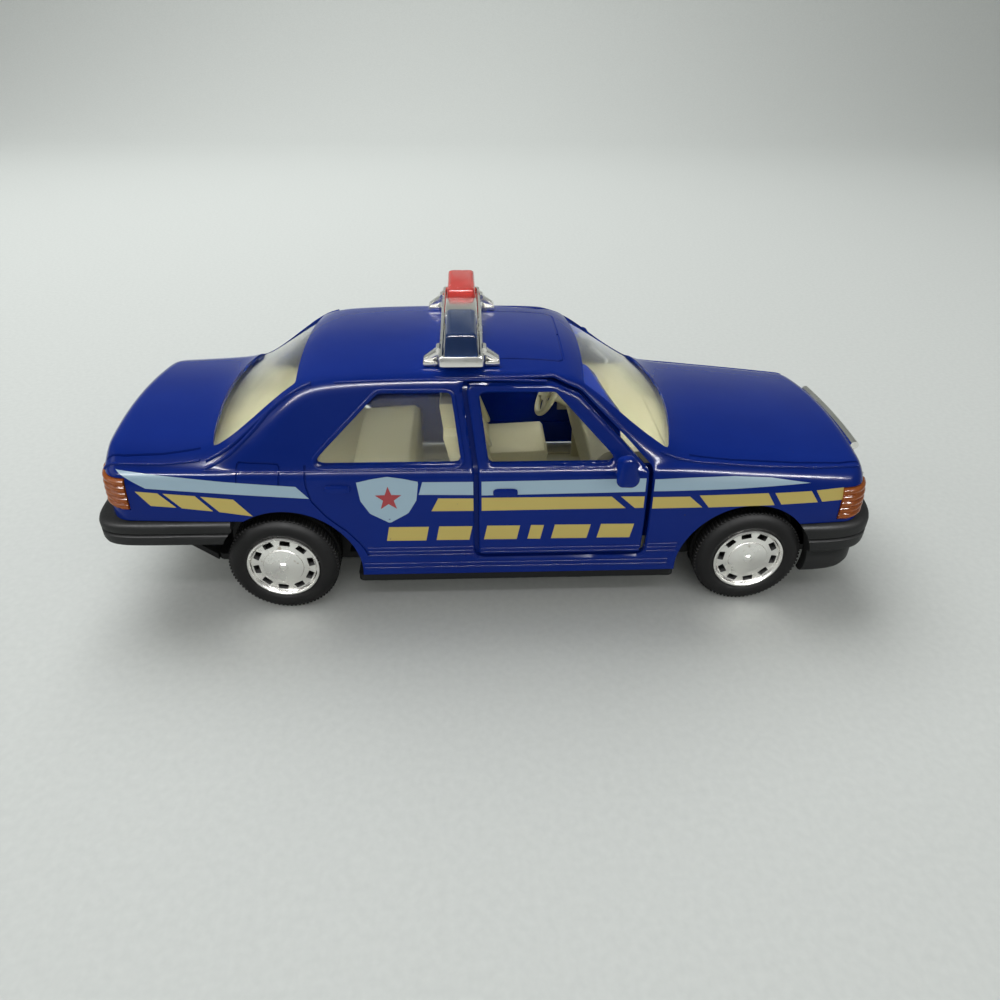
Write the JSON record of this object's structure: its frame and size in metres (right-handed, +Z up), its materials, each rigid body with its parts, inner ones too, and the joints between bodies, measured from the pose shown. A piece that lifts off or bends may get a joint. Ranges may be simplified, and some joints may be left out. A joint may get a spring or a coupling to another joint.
{
  "type": "toy police car",
  "caption": "Die-cast toy saloon car in blue police colours with opening front doors, rolling wheels, a pull-back motor and a roof light bar.",
  "frame": {"origin": "on the ground under the middle of the car", "axes": "+X towards the front of the car, +Y to its left, +Z up"},
  "size_m": [0.125, 0.0548, 0.0454],
  "materials": {
    "blue_enamel": "gloss enamel on cast zinc",
    "clear_plastic": "clear moulded plastic, a little milky",
    "cream_plastic": "satin moulded plastic",
    "black_plastic": "matt moulded plastic",
    "plated_plastic": "vacuum plated, worn on the high edges",
    "lamp_plastic": "clear ribbed lens",
    "amber_plastic": "ribbed amber lens",
    "blue_dome": "clear tinted moulding",
    "red_dome": "clear tinted moulding",
    "tyre_rubber": "soft matt plastic with moulded tread",
    "steel": "bright drawn wire",
    "grey_plastic": "moulded plastic",
    "gear_plastic": "moulded plastic"
  },
  "bodies": {
    "body": {"body_shell": "blue_enamel", "window_glazing": "clear_plastic", "interior_tub": "cream_plastic", "right_front_seat": "cream_plastic", "left_front_seat": "cream_plastic", "dashboard": "cream_plastic", "steering_wheel": "cream_plastic", "chassis_base": "black_plastic", "front_bumper": "black_plastic", "rear_bumper": "black_plastic", "front_grille": "plated_plastic", "right_headlight": "lamp_plastic", "left_headlight": "lamp_plastic", "right_indicator": "amber_plastic", "left_indicator": "amber_plastic", "right_tail_lamp": "amber_plastic", "left_tail_lamp": "amber_plastic", "lightbar_base": "plated_plastic", "lightbar_blue_dome": "blue_dome", "lightbar_red_dome": "red_dome", "base_screws": "steel", "motor_case": "grey_plastic", "motor_cover": "grey_plastic", "right_hinge_pin": "steel", "left_hinge_pin": "steel"},
    "right_door": {"right_front_door": "blue_enamel", "right_hinge_leaf": "steel", "right_mirror": "blue_enamel"},
    "left_door": {"left_front_door": "blue_enamel", "left_hinge_leaf": "steel", "left_mirror": "blue_enamel"},
    "front_wheels": {"front_axle": "steel", "front_right_rim": "plated_plastic", "front_left_rim": "plated_plastic", "front_right_tyre": "tyre_rubber", "front_left_tyre": "tyre_rubber"},
    "rear_wheels": {"rear_axle": "steel", "rear_right_rim": "plated_plastic", "rear_left_rim": "plated_plastic", "rear_right_tyre": "tyre_rubber", "rear_left_tyre": "tyre_rubber", "axle_pinion": "gear_plastic"},
    "winding": {"winding_gear": "gear_plastic", "mainspring": "steel"}
  },
  "joints": [
    {"name": "right_door_hinge", "type": "hinge", "parent": "body", "child": "right_door", "pos_m": [0.019, -0.0204, 0.0178], "axis": [0, 0, 1], "range_deg": [0, 60]},
    {"name": "left_door_hinge", "type": "hinge", "parent": "body", "child": "left_door", "pos_m": [0.019, 0.0204, 0.0178], "axis": [0, 0, -1], "range_deg": [0, 60]},
    {"name": "front_axle_spin", "type": "hinge", "parent": "body", "child": "front_wheels", "pos_m": [0.041, 0, 0.00875], "axis": [0, 1, 0], "continuous": true},
    {"name": "rear_axle_spin", "type": "hinge", "parent": "body", "child": "rear_wheels", "pos_m": [-0.0345, 0, 0.00875], "axis": [0, 1, 0], "continuous": true},
    {"name": "winding_gear_spin", "type": "hinge", "parent": "body", "child": "winding", "pos_m": [-0.02717, 0, 0.01035], "axis": [0, 1, 0], "continuous": true}
  ],
  "couplings": [
    {"joint": "winding_gear_spin", "follows": "rear_axle_spin", "ratio": -0.66667}
  ]
}
